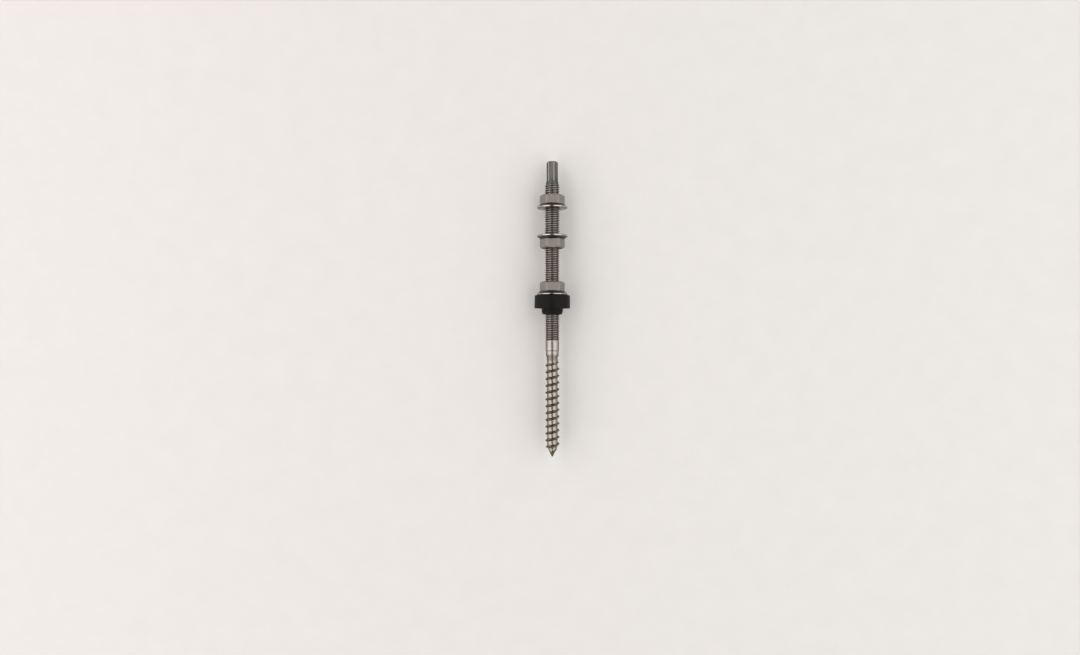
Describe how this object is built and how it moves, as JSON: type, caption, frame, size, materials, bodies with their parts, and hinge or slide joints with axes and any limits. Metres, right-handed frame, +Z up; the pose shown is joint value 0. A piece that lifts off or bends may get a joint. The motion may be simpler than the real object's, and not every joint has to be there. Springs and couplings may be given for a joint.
{
  "type": "hanger bolt",
  "caption": "Stainless hanger bolt with hexagon drive, machine thread, wood thread and gimlet point, carrying flange nuts and a stepped rubber roof seal.",
  "frame": {"origin": "on the ground under the middle of the lying bolt", "axes": "+Y along the lying bolt towards its hexagon drive, +Z up, +X to the right"},
  "size_m": [0.0242, 0.2, 0.0241],
  "materials": {
    "bolt_steel": "satin",
    "nut_steel": "satin",
    "seal_rubber": "matte"
  },
  "bodies": {
    "bolt": {"hanger_bolt": "bolt_steel"},
    "seal": {"seal": "seal_rubber"},
    "lower_nut": {"lower_nut": "nut_steel"},
    "middle_nut": {"middle_nut": "nut_steel"},
    "top_nut": {"top_nut": "nut_steel"}
  },
  "joints": [
    {"name": "seal_slide", "type": "slide", "parent": "bolt", "child": "seal", "axis": [0, 0.9998, -0.0215], "range_m": [-0.0165, 0.0105]},
    {"name": "lower_nut_turn", "type": "hinge", "parent": "seal", "child": "lower_nut", "pos_m": [0, 0.00946, 0.01178], "axis": [0, 0.9998, -0.0215], "range_deg": [-3960, 2520]},
    {"name": "middle_nut_travel", "type": "slide", "parent": "bolt", "child": "middle_nut", "axis": [0, 0.9998, -0.0215], "range_m": [-0.0105, 0.0075]},
    {"name": "top_nut_travel", "type": "slide", "parent": "bolt", "child": "top_nut", "axis": [0, 0.9998, -0.0215], "range_m": [-0.0075, 0.033]}
  ],
  "couplings": [
    {"joint": "lower_nut_turn", "follows": "seal_slide", "rad_per_m": 4188.8}
  ]
}
